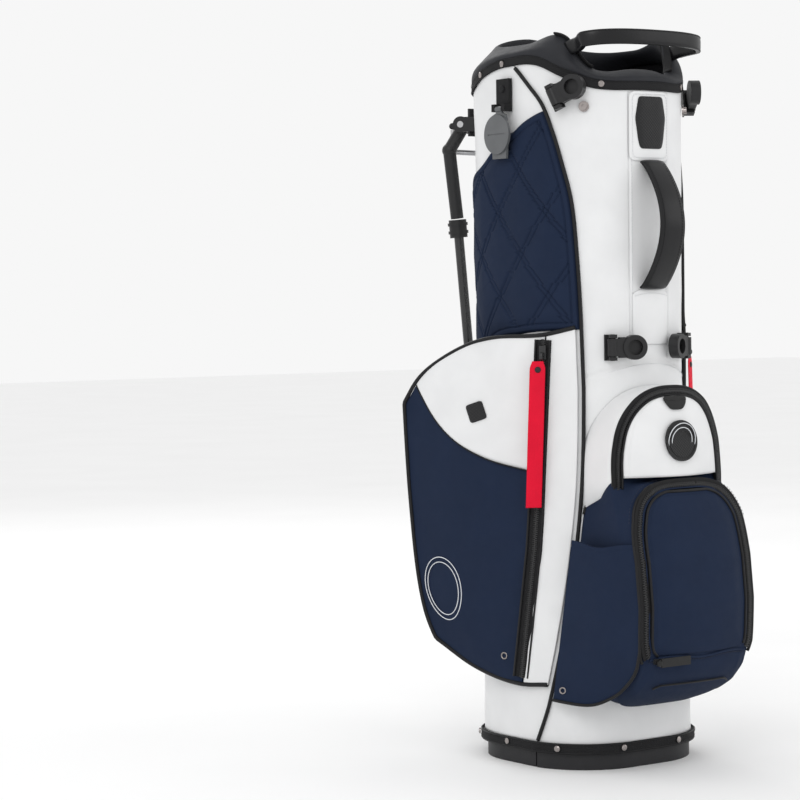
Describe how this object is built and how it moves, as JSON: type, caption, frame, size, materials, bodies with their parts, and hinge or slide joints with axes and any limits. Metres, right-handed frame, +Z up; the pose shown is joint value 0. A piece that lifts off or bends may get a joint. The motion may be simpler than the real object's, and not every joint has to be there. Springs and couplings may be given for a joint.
{
  "type": "golf stand bag",
  "caption": "Upright golf stand bag with padded collar, club dividers, side and front pockets, carry handles, strap clips and folding rear legs driven by a rocker base.",
  "frame": {"origin": "centre of the base's underside", "axes": "+Z up the tube, -Y to the front with the handle and ball pocket, +Y to the back with the legs"},
  "size_m": [0.334, 0.3909, 0.876],
  "materials": {
    "base_plastic": "satin moulded black",
    "trim_band": "textured black",
    "gunmetal": "dark nickel",
    "steel": "bright",
    "white_skin": "smooth coated synthetic leather",
    "navy_skin": "matte navy soft fabric",
    "quilt": "quilted navy fabric over foam",
    "black_trim": "black piping and zip tape",
    "collar_foam": "smooth black padded fabric",
    "divider_fabric": "dark brushed lining",
    "fibre_rod": "glass fibre",
    "black_leather": "fine grain black leather",
    "clip_plastic": "satin black moulding",
    "zip_metal": "black enamel",
    "red_ribbon": "red woven ribbon",
    "emblem": "round rubber patch",
    "tag_rubber": "dark grey rubber",
    "leg_moulding": "satin black nylon",
    "leg_tube": "black anodised",
    "foot_rubber": "black rubber"
  },
  "bodies": {
    "bag": {"base_shell": "base_plastic", "base_trim_band": "trim_band", "base_rivets": "gunmetal", "rocker_pin": "steel", "front_panel": "white_skin", "rear_panel": "white_skin", "quilted_panel_left": "quilt", "quilted_panel_right": "quilt", "seam_piping": "black_trim", "collar_frame": "trim_band", "collar_padding": "collar_foam", "collar_rivets": "gunmetal", "divider_grid": "divider_fabric", "divider_sheets": "divider_fabric", "stay_rods": "fibre_rod", "top_handle": "black_leather", "spine_handle": "black_leather", "handle_anchor": "white_skin", "patch_frame": "white_skin", "name_patch": "trim_band", "strap_studs": "gunmetal", "clip_anchors": "clip_plastic", "side_pocket_left": "navy_skin", "side_pocket_right": "navy_skin", "side_zippers": "black_trim", "valuables_pocket": "white_skin", "ball_pocket": "navy_skin", "ball_slider": "zip_metal", "sleeve_pocket_left": "navy_skin", "sleeve_pocket_right": "navy_skin", "tag_loops": "black_trim", "leg_bracket": "base_plastic", "leg_pins": "steel", "rod_guides": "base_plastic"},
    "rocker": {"base_rocker": "base_plastic"},
    "lift": {"actuator_rod": "steel", "actuator_yoke": "steel"},
    "left_leg": {"leg_left_top": "leg_moulding", "leg_left_clamp": "leg_moulding", "leg_left_tube": "leg_tube", "leg_left_foot": "foot_rubber"},
    "right_leg": {"leg_right_top": "leg_moulding", "leg_right_clamp": "leg_moulding", "leg_right_tube": "leg_tube", "leg_right_foot": "foot_rubber"},
    "clip_lower_left": {"strap_clip_lower_left": "clip_plastic"},
    "clip_lower_right": {"strap_clip_lower_right": "clip_plastic"},
    "clip_upper_left": {"strap_clip_upper_left": "clip_plastic"},
    "clip_upper_right": {"strap_clip_upper_right": "clip_plastic"},
    "left_slider": {"side_slider_left": "zip_metal"},
    "right_slider": {"side_slider_right": "zip_metal"},
    "left_ribbon": {"ribbon_left": "red_ribbon"},
    "right_ribbon": {"ribbon_right": "red_ribbon"},
    "valuables_flap": {"valuables_door": "white_skin", "emblem_patch": "emblem"},
    "ball_flap": {"ball_door": "navy_skin"},
    "ball_tab": {"ball_pull": "emblem"},
    "left_tag": {"tag_left": "tag_rubber"},
    "right_tag": {"tag_right": "tag_rubber"}
  },
  "joints": [
    {"name": "leg_left_deploy", "type": "hinge", "parent": "bag", "child": "left_leg", "pos_m": [-0.066, 0.146, 0.772], "axis": [0.8192, 0.5736, 0], "range_deg": [0, 28], "stiffness_Nm_per_rad": 1.4, "springref_deg": -28.65},
    {"name": "leg_right_deploy", "type": "hinge", "parent": "bag", "child": "right_leg", "pos_m": [0.066, 0.146, 0.772], "axis": [0.8192, -0.5736, 0], "range_deg": [0, 28]},
    {"name": "lift_slide", "type": "slide", "parent": "bag", "child": "lift", "axis": [0, 0, 1], "range_m": [0, 0.00938]},
    {"name": "base_rock", "type": "hinge", "parent": "bag", "child": "rocker", "pos_m": [0, -0.038, 0.01], "axis": [1, 0, 0], "range_deg": [0, 3.14]},
    {"name": "clip_lower_left_swing", "type": "hinge", "parent": "bag", "child": "clip_lower_left", "pos_m": [-0.0576, -0.1221, 0.497], "axis": [0, 0, -1], "range_deg": [0, 95]},
    {"name": "clip_lower_right_swing", "type": "hinge", "parent": "bag", "child": "clip_lower_right", "pos_m": [0.0576, -0.1221, 0.497], "axis": [0, 0, 1], "range_deg": [0, 95]},
    {"name": "clip_upper_left_swing", "type": "hinge", "parent": "bag", "child": "clip_upper_left", "pos_m": [-0.1066, -0.0786, 0.7895], "axis": [0.2064, -0.3505, -0.9135], "range_deg": [0, 95]},
    {"name": "clip_upper_right_swing", "type": "hinge", "parent": "bag", "child": "clip_upper_right", "pos_m": [0.1066, -0.0786, 0.7895], "axis": [0.2064, 0.3505, 0.9135], "range_deg": [0, 95]},
    {"name": "slider_left_slide", "type": "slide", "parent": "bag", "child": "left_slider", "axis": [-0.0239, 0.0527, -0.9983], "range_m": [0, 0.27]},
    {"name": "slider_right_slide", "type": "slide", "parent": "bag", "child": "right_slider", "axis": [0.0239, 0.0527, -0.9983], "range_m": [0, 0.27]},
    {"name": "ribbon_right_swing", "type": "hinge", "parent": "right_slider", "child": "right_ribbon", "pos_m": [0.12, -0.06, 0.482], "axis": [-0.8192, -0.5736, 0], "range_deg": [0, 70]},
    {"name": "ribbon_left_swing", "type": "hinge", "parent": "left_slider", "child": "left_ribbon", "pos_m": [-0.12, -0.06, 0.482], "axis": [-0.8192, 0.5736, 0], "range_deg": [0, 70]},
    {"name": "valuables_flap_open", "type": "hinge", "parent": "bag", "child": "valuables_flap", "pos_m": [0, -0.1755, 0.3485], "axis": [1, 0, 0], "range_deg": [0, 60]},
    {"name": "ball_flap_open", "type": "hinge", "parent": "bag", "child": "ball_flap", "pos_m": [0, -0.2105, 0.145], "axis": [1, 0, 0], "range_deg": [0, 95]},
    {"name": "ball_tab_swing", "type": "hinge", "parent": "bag", "child": "ball_tab", "pos_m": [-0.067, -0.20943, 0.1374], "axis": [0, 0, -1], "range_deg": [0, 90]},
    {"name": "tag_left_swing", "type": "hinge", "parent": "bag", "child": "left_tag", "pos_m": [-0.116, 0.011, 0.781], "axis": [0, 1, 0], "range_deg": [0, 80]},
    {"name": "tag_right_swing", "type": "hinge", "parent": "bag", "child": "right_tag", "pos_m": [0.116, 0.011, 0.781], "axis": [0, -1, 0], "range_deg": [0, 80]}
  ],
  "couplings": [
    {"joint": "leg_right_deploy", "follows": "leg_left_deploy", "ratio": 1},
    {"joint": "lift_slide", "follows": "leg_left_deploy", "m_per_rad": 0.0192},
    {"joint": "base_rock", "follows": "leg_left_deploy", "ratio": 0.11228}
  ]
}
